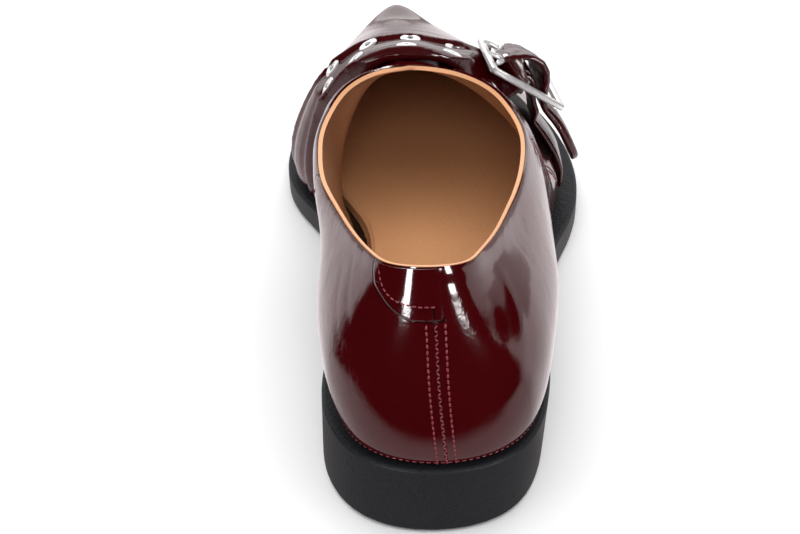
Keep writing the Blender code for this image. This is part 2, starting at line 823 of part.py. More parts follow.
def eyelet_seats():
    """Where each eyelet sits: the row's name, its number, the floor of its pocket and the way it faces."""
    seats = []
    for row, side, stops in (("back", -1, BACK_ROUND), ("front", 1, FRONT_ROUND)):
        share = side * EYELET_ROW / STRAP_HALF
        for number, round_ in enumerate(stops):
            floor = EYELET_DEPTH * strap_thick(round_)
            foot = strap_on_foot(round_, share, floor)
            seats.append((row, number, foot, strap_on_foot(round_, share, floor + 1) - foot))
        stop, share = PRONG_STOPS[row], side * PRONG_ROW / STRAP_HALF
        foot = strap_on_arch(stop, share, PRONG_SEAT)
        seats.append((row, len(stops), foot, strap_on_arch(stop, share, PRONG_SEAT + 1) - foot))
    return seats


for row, number, foot, axis in eyelet_seats():
    last = number == len(BACK_ROUND)
    ring, hole = (SMALL_EYELET, SMALL_POCKET) if last else (EYELET, POCKET)
    turned(f"eyelet_{row}_{number}", foot, axis, ring, STEEL, around=10)
    cut(strap, turned(f"pocket_{row}_{number}", foot, axis, hole, STEEL, around=12))


# ---------------------------------------------------------------- buckle


def frame_rings():
    """Chamfered sections of the flat frame at points round it, three at each corner."""
    half_long, half_wide = BUCKLE_LENGTH / 2 - CORNER, BUCKLE_WIDTH / 2 - CORNER
    rings = []
    for quarter in range(4):
        sign_a, sign_w = ((1, 1), (-1, 1), (-1, -1), (1, -1))[quarter]
        for step in range(3):
            turn = math.radians(quarter * 90 + 45 * step)
            out = np.array([math.cos(turn), math.sin(turn)])
            edge = np.array([sign_a * half_long, sign_w * half_wide]) + out * CORNER
            diagonal = 1.0 if step != 1 else math.sqrt(2) * 0.9
            inside = edge - out * BAR * diagonal
            ring = []
            for share, height in ((0, -1), (0, 1), (1, 1), (1, -1)):
                for first in (True, False):
                    place = edge if share == 0 else inside
                    inwards = out * (-CHAMFER if share == 0 else CHAMFER)
                    chamfer = first if (share, height) in ((0, -1), (1, 1)) else not first
                    spot = place + inwards * (1.0 if chamfer else 0.0)
                    lift = height * (BAR_THICK / 2 - (0.0 if chamfer else CHAMFER))
                    ring.append(on_buckle(spot[0], spot[1], lift))
            rings.append(ring)
    return rings


def middle_bar():
    turns = [2 * math.pi * i / 12 for i in range(12)]
    return [
        [on_buckle(BAR_RADIUS * math.cos(turn), w, -BAR_RADIUS * 0.98 * math.sin(turn)) for turn in turns]
        for w in (-BUCKLE_WIDTH / 2 + 1.0, BUCKLE_WIDTH / 2 - 1.0)
    ]


frame = body("buckle_frame", frame_rings(), STEEL, ends="joined")
cut(frame, body("middle_bar", middle_bar(), STEEL, ends="capped"), "UNION")


def prong(name, across):
    """A rod from a ring round the middle bar, through its eyelet, to the first bar of the frame."""
    turns = [2 * math.pi * i / 10 for i in range(10)]
    rings = []
    for along, height in PRONG_PATH:
        radius = PRONG_TIP if along == PRONG_PATH[-1][0] else PRONG_RADIUS
        rings.append(
            [
                on_buckle(along, across + radius * math.cos(turn), height + radius * 0.94 * math.sin(turn))
                for turn in turns
            ]
        )
    rod = body(name, rings, STEEL, ends="capped")
    ring = turned(name + "_ring", on_buckle(0.0, across, 0.0), ACROSS, PRONG_RING, STEEL, around=16)
    cut(rod, ring, "UNION")


prong("prong_back", -PRONG_ROW)
prong("prong_front", PRONG_ROW)


# ---------------------------------------------------------------- short strap

hook_knots = np.concatenate(
    [[0], np.cumsum(np.linalg.norm(np.diff(np.array(SHORT_HOOK), axis=0), axis=1))]
)
hook_curve = spline(hook_knots, np.array(SHORT_HOOK))


def short_rings():
    rings = []
    for i in range(17):
        where = hook_knots[-1] * i / 16
        a, b = hook_curve(where)[0]
        da, db = hook_curve(min(where + 0.1, hook_knots[-1]))[0] - hook_curve(max(where - 0.1, 0.0))[0]
        length = math.hypot(da, db)
        na, nb = -db / length, da / length
        rings.append(
            [
                on_buckle(a + na * SHORT_THICK * height, share * SHORT_HALF, b + nb * SHORT_THICK * height)
                for share, height in FLAT
            ]
        )
    for i in range(10):
        share = i / 9
        round_, middle = (start + (end - start) * share for start, end in (SHORT_ROUND, SHORT_Y))
        thick = SHORT_THICK * (1.0 - 0.5 * share * share)
        rings.append(
            [
                stand_off(round_, middle + side * SHORT_HALF, STAND_OFF_LEAST - 0.1 * share + thick * height)
                for side, height in FLAT
            ]
        )
    return rings


short_strap = body("buckle_strap", short_rings(), PATENT, ends="capped")
for row, side in (("back", -1), ("front", 1)):
    slot = [
        [on_buckle(along, side * PRONG_ROW + across, height) for along, height in SHORT_SLOT]
        for across in (-SLOT_HALF, SLOT_HALF)
    ]
    cut(short_strap, body(f"slot_{row}", slot, STEEL, ends="capped"))
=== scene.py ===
"""The looks of a right-foot loafer with a padded, buckled strap: its materials and finish, piece by piece.

+Y points to the toe, +X to the outer side of the foot and +Z up. Places are in metres, sizes in MM.
"""

import math

import bmesh
import bpy
from mathutils import Matrix, Vector, kdtree, noise
from mathutils.bvhtree import BVHTree


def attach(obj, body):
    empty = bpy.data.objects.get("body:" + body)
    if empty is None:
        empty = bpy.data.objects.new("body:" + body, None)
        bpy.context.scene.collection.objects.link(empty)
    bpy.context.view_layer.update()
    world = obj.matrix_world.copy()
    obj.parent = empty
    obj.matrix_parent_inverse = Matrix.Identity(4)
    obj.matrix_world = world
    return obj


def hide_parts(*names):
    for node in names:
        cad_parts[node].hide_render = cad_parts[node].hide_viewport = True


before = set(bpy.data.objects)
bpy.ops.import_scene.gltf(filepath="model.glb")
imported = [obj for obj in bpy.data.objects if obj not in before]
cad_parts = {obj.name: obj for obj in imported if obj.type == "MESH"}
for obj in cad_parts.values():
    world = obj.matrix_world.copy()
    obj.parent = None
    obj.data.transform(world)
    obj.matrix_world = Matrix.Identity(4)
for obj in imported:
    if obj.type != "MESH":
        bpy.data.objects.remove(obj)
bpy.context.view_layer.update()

MM = 0.001

# ---------------------------------------------------------------- camera
# A long lens from behind the heel and above it, a hair off level, so that the collar opens to the viewer.

LENS = 111.4
EYE = Vector((-0.0109, -0.6656, 0.4219))
LOOK_DOWN = math.radians(32.64)
ROLL = math.radians(-0.99)

forward = Vector((0, math.cos(LOOK_DOWN), -math.sin(LOOK_DOWN)))
up = Vector((0, math.sin(LOOK_DOWN), math.cos(LOOK_DOWN)))
right = Vector((1, 0, 0)) * math.cos(ROLL) + up * math.sin(ROLL)
up = forward.cross(right) * -1

camera = bpy.data.objects.new("camera", bpy.data.cameras.new("camera"))
bpy.context.scene.collection.objects.link(camera)
camera.data.lens = LENS
camera.data.clip_start = 0.01
camera.matrix_world = Matrix(
    (
        (right.x, up.x, -forward.x, EYE.x),
        (right.y, up.y, -forward.y, EYE.y),
        (right.z, up.z, -forward.z, EYE.z),
        (0, 0, 0, 1),
    )
)
bpy.context.scene.camera = camera
bpy.context.scene.view_settings.view_transform = "Standard"

# ---------------------------------------------------------------- floor and lights
# A pale floor in a pale room, with soft boxes past the toe, over the top and behind the collar, and two
# narrow windows behind the heel. In gloss the floor is dark behind the heel, as over a black card.

PALE = (0.97, 0.97, 0.97, 1)
GLOSS_TINT = (1.0, 0.92, 0.935, 1)
FLOOR_SIZE, FLOOR_DROP = 40.0, 0.0001
TO_INNER, TO_OUTER = 0.48, 0.10
CARD_MIDDLE, CARD_HALF_WIDE, CARD_HALF_LONG = -0.100, 0.115, 0.070

bpy.ops.object.select_all(action="DESELECT")
bpy.ops.mesh.primitive_plane_add(size=FLOOR_SIZE, location=(0, 0, -FLOOR_DROP))
floor = bpy.context.active_object
floor.name = "floor"
cover = bpy.data.materials.new("pale floor")
cover.use_nodes = True
nodes, links = cover.node_tree.nodes, cover.node_tree.links
nodes.clear()


def sum_of(nodes, links, operation, *terms):
    """A maths node over these terms, each a socket or a number."""
    made = nodes.new("ShaderNodeMath")
    made.operation = operation
    for socket, term in zip(made.inputs, terms):
        if isinstance(term, (int, float)):
            socket.default_value = term
        else:
            links.new(term, socket)
    return made.outputs[0]


def ramp(nodes, links, value, start, end, low=0.0, high=1.0):
    """A smooth change from low to high while a value goes from start to end."""
    made = nodes.new("ShaderNodeMapRange")
    made.interpolation_type = "SMOOTHSTEP"
    for name, number in (("From Min", start), ("From Max", end), ("To Min", low), ("To Max", high)):
        made.inputs[name].default_value = number
    links.new(value, made.inputs["Value"])
    return made.outputs["Result"]


place = nodes.new("ShaderNodeTexCoord")
apart = nodes.new("ShaderNodeSeparateXYZ")
links.new(place.outputs["Object"], apart.inputs[0])
to_inner = sum_of(nodes, links, "MULTIPLY", apart.outputs["X"], TO_INNER)
to_outer = sum_of(nodes, links, "MULTIPLY", apart.outputs["X"], TO_OUTER)
lean = sum_of(nodes, links, "MINIMUM", to_inner, to_outer)
lit_ahead = ramp(nodes, links, sum_of(nodes, links, "ADD", lean, apart.outputs["Y"]), -0.13, -0.08)
aside = sum_of(nodes, links, "DIVIDE", apart.outputs["X"], CARD_HALF_WIDE)
along = sum_of(nodes, links, "ADD", apart.outputs["Y"], -CARD_MIDDLE)
along = sum_of(nodes, links, "DIVIDE", along, CARD_HALF_LONG)
aside, along = (sum_of(nodes, links, "POWER", share, 2.0) for share in (aside, along))
round_heel = sum_of(nodes, links, "ADD", aside, along)
lit_near = ramp(nodes, links, round_heel, 1.25, 0.75, 0.0, 0.55)
beyond = ramp(nodes, links, apart.outputs["Y"], 0.178, 0.212, 1.0, 0.45)
shine = sum_of(nodes, links, "MULTIPLY", sum_of(nodes, links, "MAXIMUM", lit_ahead, lit_near), beyond)
seen = nodes.new("ShaderNodeLightPath")
pale = nodes.new("ShaderNodeBsdfDiffuse")
in_gloss = nodes.new("ShaderNodeEmission")
pale.inputs["Color"].default_value = PALE
in_gloss.inputs["Color"].default_value = GLOSS_TINT
links.new(sum_of(nodes, links, "MULTIPLY_ADD", shine, 1.15, 0.010), in_gloss.inputs["Strength"])
either = nodes.new("ShaderNodeMixShader")
out = nodes.new("ShaderNodeOutputMaterial")
links.new(seen.outputs["Is Glossy Ray"], either.inputs[0])
links.new(pale.outputs[0], either.inputs[1])
links.new(in_gloss.outputs[0], either.inputs[2])
links.new(either.outputs[0], out.inputs[0])
floor.data.materials.append(cover)

room = bpy.data.worlds.new("room")
bpy.context.scene.world = room
room.use_nodes = True
room.node_tree.nodes["Background"].inputs["Color"].default_value = (1, 1, 1, 1)
room.node_tree.nodes["Background"].inputs["Strength"].default_value = 0.68
room.cycles_visibility.glossy = False

SOFT_BOXES = (
    # name, middle, aims at, width, height, brightness, lights matt pieces, shows in gloss
    ("sweep past the toe", (0.0, 1.10, 0.45), (0.0, 0.0, 0.15), 2.60, 1.10, 1.7, True, True),
    ("over the top", (0.0, -0.15, 1.20), (0.0, 0.0, 0.05), 1.30, 1.30, 1.5, True, False),
    ("down into the shoe", (-0.03, -0.80, 0.62), (0.0, -0.02, 0.02), 0.30, 0.30, 5.0, True, False),
    ("inner window", (-0.27, -0.455, 0.152), (-0.01, -0.14, 0.070), 0.085, 0.24, 30.0, False, True),
    ("outer window", (0.358, -0.425, 0.182), (0.0, -0.14, 0.070), 0.105, 0.24, 34.0, False, True),
)
for name, middle, aim, width, height, brightness, on_matt, in_shine in SOFT_BOXES:
    lamp = bpy.data.lights.new(name, "AREA")
    lamp.shape = "RECTANGLE"
    lamp.size, lamp.size_y = width, height
    lamp.energy = brightness * math.pi * width * height
    box = bpy.data.objects.new(name, lamp)
    bpy.context.scene.collection.objects.link(box)
    box.location = middle
    box.rotation_mode = "QUATERNION"
    box.rotation_quaternion = (Vector(aim) - Vector(middle)).to_track_quat("-Z", "Y")
    box.visible_camera = False
    box.visible_diffuse = on_matt
    box.visible_glossy = in_shine

# ---------------------------------------------------------------- outsole
# One black moulded rubber piece with its heel. Its ledge shows all round the upper, and its edges are
# broken by the mould.


def work_on(piece):
    """Selects this piece alone and makes it the active one."""
    bpy.ops.object.select_all(action="DESELECT")
    piece.select_set(True)
    bpy.context.view_layer.objects.active = piece


def take(node, name):
    """A copy of a CAD node's mesh to work on, its triangles joined and paired into four-sided faces."""
    piece = bpy.data.objects.new(name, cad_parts[node].data.copy())
    bpy.context.scene.collection.objects.link(piece)
    piece.data.materials.clear()
    work_on(piece)
    bpy.ops.object.mode_set(mode="EDIT")
    bpy.ops.mesh.select_all(action="SELECT")
    bpy.ops.mesh.remove_doubles(threshold=0.01 * MM)
    bpy.ops.mesh.tris_convert_to_quads(face_threshold=math.radians(50), shape_threshold=math.radians(60))
    bpy.ops.object.mode_set(mode="OBJECT")
    return piece


def finish_with(piece, kind, **settings):
    """Adds a modifier with these settings and applies it."""
    work_on(piece)
    made = piece.modifiers.new(kind.lower(), kind)
    for setting, value in settings.items():
        setattr(made, setting, value)
    bpy.ops.object.modifier_apply(modifier=made.name)


def round_edges(piece, width, degrees):
    """Rounds the edges that turn by more than this, then makes the whole piece even."""
    limit = math.radians(degrees)
    finish_with(piece, "BEVEL", width=width * MM, segments=2, limit_method="ANGLE", angle_limit=limit)
    finish_with(piece, "SUBSURF", levels=2, render_levels=2)


def smooth(piece, degrees=180):
    work_on(piece)
    bpy.ops.object.shade_smooth_by_angle(angle=math.radians(degrees))


def new_material(name):
    made = bpy.data.materials.new(name)
    made.use_nodes = True
    return made, made.node_tree.nodes, made.node_tree.links, made.node_tree.nodes["Principled BSDF"]


def keep(piece, node, surface):
    """The finished piece rides with the shoe and stands for its CAD node."""
    piece.data.materials.append(surface)
    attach(piece, "root")
    if node:
        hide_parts(node)


def grain_group():
    """Fine grain for leather and rubber: a height between 0 and 1 and a mask of its low places."""
    group = bpy.data.node_groups.new("fine grain", "ShaderNodeTree")
    face = group.interface
    face.new_socket("Size", in_out="INPUT", socket_type="NodeSocketFloat")
    face.new_socket("Height", in_out="OUTPUT", socket_type="NodeSocketFloat")
    face.new_socket("Low places", in_out="OUTPUT", socket_type="NodeSocketFloat")
    inner, wires = group.nodes, group.links
    given = inner.new("NodeGroupInput")
    told = inner.new("NodeGroupOutput")
    place = inner.new("ShaderNodeTexCoord")
    cells = inner.new("ShaderNodeTexVoronoi")
    cloud = inner.new("ShaderNodeTexNoise")
    cloud.inputs["Detail"].default_value = 4.0
    wires.new(place.outputs["Object"], cells.inputs["Vector"])
    wires.new(place.outputs["Object"], cloud.inputs["Vector"])
    wires.new(given.outputs["Size"], cells.inputs["Scale"])
    wires.new(given.outputs["Size"], cloud.inputs["Scale"])
    both = inner.new("ShaderNodeMath")
    both.operation = "MULTIPLY_ADD"
    wires.new(cells.outputs["Distance"], both.inputs[0])
    both.inputs[1].default_value = 0.6
    wires.new(cloud.outputs["Fac"], both.inputs[2])
    low = inner.new("ShaderNodeMapRange")
    low.inputs["From Min"].default_value = 0.75
    low.inputs["From Max"].default_value = 0.45
    wires.new(both.outputs[0], low.inputs["Value"])
    wires.new(both.outputs[0], told.inputs["Height"])
    wires.new(low.outputs["Result"], told.inputs["Low places"])
    return group


GRAIN = grain_group()


def grain_in(nodes, size):
    made = nodes.new("ShaderNodeGroup")
    made.node_tree = GRAIN
    made.inputs["Size"].default_value = size
    return made


def colour_between(nodes, links, share, first, second):
    """A colour that goes from the first to the second, each of them a colour or a socket."""
    made = nodes.new("ShaderNodeMix")
    made.data_type = "RGBA"
    for name, colour in (("A", first), ("B", second)):
        if isinstance(colour, tuple):
            made.inputs[name].default_value = (*colour, 1)
        else:
            links.new(colour, made.inputs[name])
    links.new(share, made.inputs["Factor"])
    return made.outputs["Result"]


def bump_in(nodes, links, height, strength, distance, under=None):
    """Relief of this height, laid over any relief under it."""
    made = nodes.new("ShaderNodeBump")
    made.inputs["Strength"].default_value = strength
    made.inputs["Distance"].default_value = distance
    links.new(height, made.inputs["Height"])
    if under is not None:
        links.new(under, made.inputs["Normal"])
    return made.outputs["Normal"]


def rubber():
    made, nodes, links, surface = new_material("black rubber")
    grain = grain_in(nodes, 900.0)
    worn, deep = (0.013, 0.014, 0.017), (0.007, 0.008, 0.009)
    base = colour_between(nodes, links, grain.outputs["Low places"], worn, deep)
    links.new(base, surface.inputs["Base Color"])
    surface.inputs["Roughness"].default_value = 0.55
    surface.inputs["Specular IOR Level"].default_value = 0.16
    links.new(bump_in(nodes, links, grain.outputs["Height"], 0.5, 0.25 * MM), surface.inputs["Normal"])
    return made


outsole = take("sole", "outsole")
round_edges(outsole, 0.5, 24)
smooth(outsole)
keep(outsole, "sole", rubber())

# ---------------------------------------------------------------- upper, outer leather
# Thin patent leather in a vamp and two quarters, drawn over the last and turned in under the insole. Lasting
# leaves it faintly wavy, with drag lines at the heel and puckers beside the seams.


AXIS_BACK, AXIS_LONG = -0.1095, 0.229
HEEL_AXIS_X, HEEL_AXIS_Z = -0.004, 0.040
TOE_SHIFT_X, TOE_DROP_Z = 0.0072, 0.0225
SHARP_BEND = 0.75
ABOVE_THE_TURN, RIM_LOW = 0.055, 0.045


def clamp(value):
    return min(max(value, 0.0), 1.0)


def axis_at(y):
    """A point well inside the shoe at this length, for telling the outer face from the inner."""
    share = clamp((y - AXIS_BACK) / AXIS_LONG)
    return Vector((HEEL_AXIS_X - TOE_SHIFT_X * share, max(y, AXIS_BACK), HEEL_AXIS_Z - TOE_DROP_Z * share))


def loose_parts(mesh):
    """The faces of each connected part, the largest part first."""
    left, parts = set(mesh.faces), []
    while left:
        part, edge_of = set(), [left.pop()]
        while edge_of:
            face = edge_of.pop()
            part.add(face)
            for edge in face.edges:
                beside = [other for other in edge.link_faces if other in left]
                left.difference_update(beside)
                edge_of.extend(beside)
        parts.append(part)
    return sorted(parts, key=len, reverse=True)


def split_upper(name, outer):
    """The upper's outer or inner face alone, without the edge between them along the top line."""
    piece = take("upper", name)
    mesh = bmesh.new()
    mesh.from_mesh(piece.data)
    sharp = set()
    for edge in mesh.edges:
        bent = len(edge.link_faces) == 2 and edge.calc_face_angle() > SHARP_BEND
        if bent and edge.verts[0].co.z > ABOVE_THE_TURN:
            sharp.update(edge.verts)
    gone = []
    for face in mesh.faces:
        middle = face.calc_center_median()
        faces_out = (middle - axis_at(middle.y)).dot(face.normal) > 0
        if all(corner in sharp for corner in face.verts) or faces_out != outer:
            gone.append(face)
    bmesh.ops.delete(mesh, geom=gone, context="FACES")
    strays = [face for part in loose_parts(mesh)[1:] for face in part]
    bmesh.ops.delete(mesh, geom=strays, context="FACES")
    mesh.to_mesh(piece.data)
    mesh.free()
    return piece


def tree_of(points):
    tree = kdtree.KDTree(len(points))
    for number, point in enumerate(points):
        tree.insert(point, number)
    tree.balance()
    return tree


def top_line_of(piece):
    """The open edge of a sheet round the collar, as a tree of its points."""
    mesh = bmesh.new()
    mesh.from_mesh(piece.data)
    edge = [vertex.co.copy() for vertex in mesh.verts if vertex.is_boundary and vertex.co.z > RIM_LOW]
    mesh.free()
    return tree_of(edge)


def skin_of(piece):
    """The piece's surface as a tree that finds the nearest place on it, or the first one along a way."""
    corners = [vertex.co for vertex in piece.data.vertices]
    return BVHTree.FromPolygons(corners, [tuple(face.vertices) for face in piece.data.polygons])


def between(before, start, end, after, t):
    """A smooth curve's point between start and end."""
    bend = (end - before) * t + (before * 2 - start * 5 + end * 4 - after) * t * t
    return start + (bend + (start * 3 - before - end * 3 + after) * t**3) * 0.5


def followed(skin, corners, step):
    """Each step along a smooth line through these corners: its place on the skin, the ways out and ahead."""
    line = [Vector(corner) * MM for corner in corners]
    line = [line[0] * 2 - line[1], *line, line[-1] * 2 - line[-2]]
    fine = [between(*four, i / 16) for four in zip(line, line[1:], line[2:], line[3:]) for i in range(16)]
    snapped = [skin.find_nearest(point)[:2] for point in [*fine, line[-2]]]
    marks, ahead = [], 0.0
    for (here, out), (there, _) in zip(snapped, snapped[1:]):
        span = (there - here).length
        while ahead < span:
            marks.append((here.lerp(there, ahead / span), out, (there - here).normalized()))
            ahead += step * MM
        ahead -= span
    return marks


def lift(piece, heights):
    """Moves each point out along its normal."""
    ways = [vertex.normal.copy() for vertex in piece.data.vertices]
    for vertex, way, height in zip(piece.data.vertices, ways, heights):
        vertex.co += way * height


def crease(piece, rows):
    """Soft troughs along lines on the piece, each with a low ridge on both sides."""
    skin = skin_of(piece)
    rise = [0.0] * len(piece.data.vertices)
    for _, depth, half, corners in rows:
        tree = tree_of([place for place, _, _ in followed(skin, corners, 0.5)])
        for vertex in piece.data.vertices:
            away = tree.find(vertex.co)[2] / (half * MM)
            if away < 3:
                rise[vertex.index] -= depth * MM * math.exp(-away * away) * (1 - 0.6 * away * away)
    lift(piece, rise)


def measure_across(piece, name, corners):
    """Stores how far each point is to the left or right of a seam, in MM."""
    marks = followed(skin_of(piece), corners, 0.4)
    tree = tree_of([place for place, _, _ in marks])
    field = piece.data.attributes.new(name, "FLOAT", "POINT")
    for vertex in piece.data.vertices:
        _, number, away = tree.find(vertex.co)
        place, out, ahead = marks[number]
        past_the_end = number in (0, len(marks) - 1)
        side = 1 if past_the_end else (vertex.co - place).dot(out.cross(ahead))
        field.data[vertex.index].value = math.copysign(away / MM, side)


FIRST_BEND = ((-33, 50, 22), (-20, 55, 40), (-4, 57, 47), (14, 54, 41), (30, 49, 22))
SECOND_BEND = ((-29, 66, 22), (-18, 70, 34), (-6, 72, 40), (10, 69, 35), (24, 64, 22))
THIRD_BEND = ((-24, 82, 22), (-15, 85, 30), (-7, 86, 34), (6, 84, 30), (18, 80, 22))
CREASES = (
    # where, depth, half width, places along it, in MM
    ("drag line at the inner heel", 0.13, 1.5, ((-25, -112, 71), (-25, -121, 63), (-22, -130, 55))),
    ("second drag line beside it", 0.12, 1.3, ((-27, -108, 66), (-26.5, -118, 57), (-24, -128, 49))),
    ("short drag line below the tab", 0.10, 1.2, ((-19, -132, 64), (-16, -137, 57), (-15, -140, 49))),
    ("bulge at the outer heel", -0.16, 3.0, ((20, -118, 70), (20, -126, 56), (17, -135, 42))),
    ("hollow beside that bulge", 0.12, 2.4, ((14, -131, 66), (14, -135, 52), (12, -139, 38))),
    ("pucker at the outer seam", 0.16, 0.9, ((31, -27, 56), (33, -22, 51), (34, -19, 47))),
    ("second pucker", 0.14, 0.8, ((31, -33, 56.5), (33.5, -28, 51), (35, -26, 46))),
    ("third pucker", 0.10, 0.8, ((31, -40, 57), (33.5, -36, 52), (35, -35, 48))),
    ("pucker at the inner seam", 0.16, 0.9, ((-35, -62, 62), (-37, -58, 56), (-39, -54, 50))),
    ("second inner pucker", 0.12, 0.9, ((-34.5, -70, 63), (-36.5, -67, 57), (-38, -64, 51))),
    ("first bend of the vamp", 0.10, 3.2, FIRST_BEND),
    ("second bend of the vamp", 0.10, 3.0, SECOND_BEND),
    ("third bend of the vamp", 0.08, 2.8, THIRD_BEND),
    ("drag to the strap's outer end", 0.16, 1.6, ((38, -6, 38), (40, 4, 30), (42, 14, 20))),
    ("drag to the strap's inner end", 0.16, 1.6, ((-40, -8, 40), (-41, 2, 32), (-42, 10, 22))),
)
BACK_SEAM = ((-3.5, -137, 78), (-2.0, -140, 67), (-1.2, -143, 47), (0.6, -141.5, 24), (0.8, -138, 12))
INNER_SEAM = ((-34, -58, 66), (-36.5, -54, 57), (-40, -42, 42), (-42, -30, 28), (-42, -24, 14))
OUTER_SEAM = ((27, -25, 62), (30.5, -22, 54), (35, -8, 42), (39, 8, 28), (42, 18, 14))
# Just below the tab's lower edge: the line along which the tab's shadow is painted into the quarter.
TAB_EDGE = ((0.5, -139.4, 68.2), (-3, -139.4, 67.9), (-8, -138.6, 67.9), (-12, -136.2, 68.8))
TAB_EDGE += ((-14, -134.2, 69.9), (-16, -131.5, 71.6), (-18, -129, 73))
TAB_EDGE += ((-18.2, -126.5, 75), (-17.6, -124, 79))
SEAMS = {"back_seam": BACK_SEAM, "inner_seam": INNER_SEAM, "outer_seam": OUTER_SEAM, "tab_edge": TAB_EDGE}
CRINKLE = (
    # what it is, size, detail, drawn out up and down, strength, height
    ("swell", 34.0, 2.0, False, 0.60, 0.60 * MM),
    ("wrinkle", 150.0, 2.0, False, 0.80, 0.16 * MM),
    ("pebble", 560.0, 2.0, True, 0.40, 0.07 * MM),
)
HAIR_SIZE, HAIR_DETAIL, HAIR_HALF = 900.0, 1.5, 0.07
BURGUNDY, DEEP_BURGUNDY = (0.054, 0.0008, 0.0020), (0.036, 0.0005, 0.0013)
# The dark colour in the seams, which along the tab's edge is painted shadow, and the painted shade under the
# buckle.
SEAM_DARK_AND_TAB_SHADOW, PAINTED_BUCKLE_SHADOW = (0.010, 0.0005, 0.001), (0.008, 0.001, 0.001)
# Where the vamp is painted dark with the buckle's shade: its middle, and how far it reaches each way, in MM.
BUCKLE_SHADE = (31.0, 27.0, 34.0), (14.0, 18.0, 13.0)


def noise_in(nodes, links, place, size, detail):
    made = nodes.new("ShaderNodeTexNoise")
    made.inputs["Scale"].default_value = size
    made.inputs["Detail"].default_value = detail
    links.new(place, made.inputs["Vector"])
    return made.outputs["Fac"]


def patent(name, streaks, gloss, seams=()):
    """Patent leather: how far its crinkle is drawn out up and down, its roughness, and the seams in it."""
    made, nodes, links, surface = new_material(name)
    place = nodes.new("ShaderNodeTexCoord").outputs["Object"]
    drawn = nodes.new("ShaderNodeMapping")
    drawn.inputs["Scale"].default_value = (1.0, 1.0, 1.0 / streaks)
    links.new(place, drawn.inputs["Vector"])
    apart = nodes.new("ShaderNodeSeparateXYZ")
    links.new(place, apart.inputs[0])
    surface.inputs["Roughness"].default_value = gloss
    surface.inputs["IOR"].default_value = 1.55

    # The leather is drawn tight over the back of the heel and the instep, and looser on the sides.
    aside = sum_of(nodes, links, "SUBTRACT", apart.outputs["X"], 6.0 * MM)
    aside = sum_of(nodes, links, "ABSOLUTE", aside)
    loose = ramp(nodes, links, aside, 14.0 * MM, 30.0 * MM, 0.35, 1.0)
    rough, layers = None, {}
    for layer, size, detail, is_drawn, strength, height in CRINKLE:
        layers[layer] = noise_in(nodes, links, drawn.outputs[0] if is_drawn else place, size, detail)
        relief = sum_of(nodes, links, "MULTIPLY", layers[layer], loose)
        rough = bump_in(nodes, links, relief, strength, height, rough)
    base = colour_between(nodes, links, layers["swell"], DEEP_BURGUNDY, BURGUNDY)

    # Hair lines run through it in patches.
    hair = noise_in(nodes, links, drawn.outputs[0], HAIR_SIZE, HAIR_DETAIL)
    hair = sum_of(nodes, links, "ABSOLUTE", sum_of(nodes, links, "SUBTRACT", hair, 0.5))
    hair = sum_of(nodes, links, "SUBTRACT", 1.0, ramp(nodes, links, hair, 0.0, HAIR_HALF))
    patches = ramp(nodes, links, layers["swell"], 0.38, 0.54)
    hair = sum_of(nodes, links, "MULTIPLY", sum_of(nodes, links, "MULTIPLY", hair, patches), loose)
    rough = bump_in(nodes, links, sum_of(nodes, links, "SUBTRACT", 1.0, hair), 0.30, 0.05 * MM, rough)

    # Each seam sinks in with a dark line along it; along the tab's edge that dark line is painted shadow
    # under the tab.
    for seam in seams:
        field = nodes.new("ShaderNodeAttribute")
        field.attribute_name = seam
        away = sum_of(nodes, links, "ABSOLUTE", field.outputs["Fac"])
        rough = bump_in(nodes, links, ramp(nodes, links, away, 0.0, 0.55), 1.0, 0.30 * MM, rough)
        base = colour_between(nodes, links, ramp(nodes, links, away, 0.10, 0.35), SEAM_DARK_AND_TAB_SHADOW, base)

    # Under the buckle the vamp is made duller and painted dark, as shade.
    if seams:
        squares = []
        for axis, middle, reach in zip("XYZ", *BUCKLE_SHADE):
            away = sum_of(nodes, links, "SUBTRACT", apart.outputs[axis], middle * MM)
            away = sum_of(nodes, links, "DIVIDE", away, reach * MM)
            squares.append(sum_of(nodes, links, "POWER", away, 2.0))
        away = sum_of(nodes, links, "ADD", sum_of(nodes, links, "ADD", squares[0], squares[1]), squares[2])
        painted_shade_and_dull = ramp(nodes, links, away, 1.25, 0.75)
        links.new(ramp(nodes, links, painted_shade_and_dull, 0.0, 1.0, gloss, 0.55), surface.inputs["Roughness"])
        links.new(ramp(nodes, links, painted_shade_and_dull, 0.0, 1.0, 0.5, 0.05), surface.inputs["Specular IOR Level"])
        base = colour_between(nodes, links, painted_shade_and_dull, base, PAINTED_BUCKLE_SHADOW)
    links.new(base, surface.inputs["Base Color"])
    links.new(rough, surface.inputs["Normal"])
    return made


OUTER_THICK = 0.5 * MM
GROOVE_DOWN, GROOVE_HALF, GROOVE_DEPTH = 4.5, 1.0, 0.15
TURNED_IN = 0.25

vamp = split_upper("outer_leather", True)
finish_with(vamp, "SUBSURF", levels=2, render_levels=2)
top_line = top_line_of(vamp)
crease(vamp, CREASES)
sinks = []
for vertex in vamp.data.vertices:
    down = top_line.find(vertex.co)[2] / MM
    at_heel = clamp((-0.105 - vertex.co.y) / 0.020)
    away = (down - GROOVE_DOWN) / GROOVE_HALF
    groove = GROOVE_DEPTH * at_heel * math.exp(-away * away)
    sinks.append(-MM * (groove + TURNED_IN * math.exp(-down * down / 0.5)))
lift(vamp, sinks)
for name, corners in SEAMS.items():
    measure_across(vamp, name, corners)
outer_skin = skin_of(vamp)
finish_with(vamp, "SOLIDIFY", thickness=OUTER_THICK, offset=-1.0)
smooth(vamp, 60)
keep(vamp, "upper", patent("burgundy patent leather", 3.0, 0.09, SEAMS))

# ---------------------------------------------------------------- stitches of the upper
# Waxed thread: two rows and a zigzag down the back seam, a row beside each side seam, and a fine row just
# above the sole all round.

STITCH_SUNK = 0.02


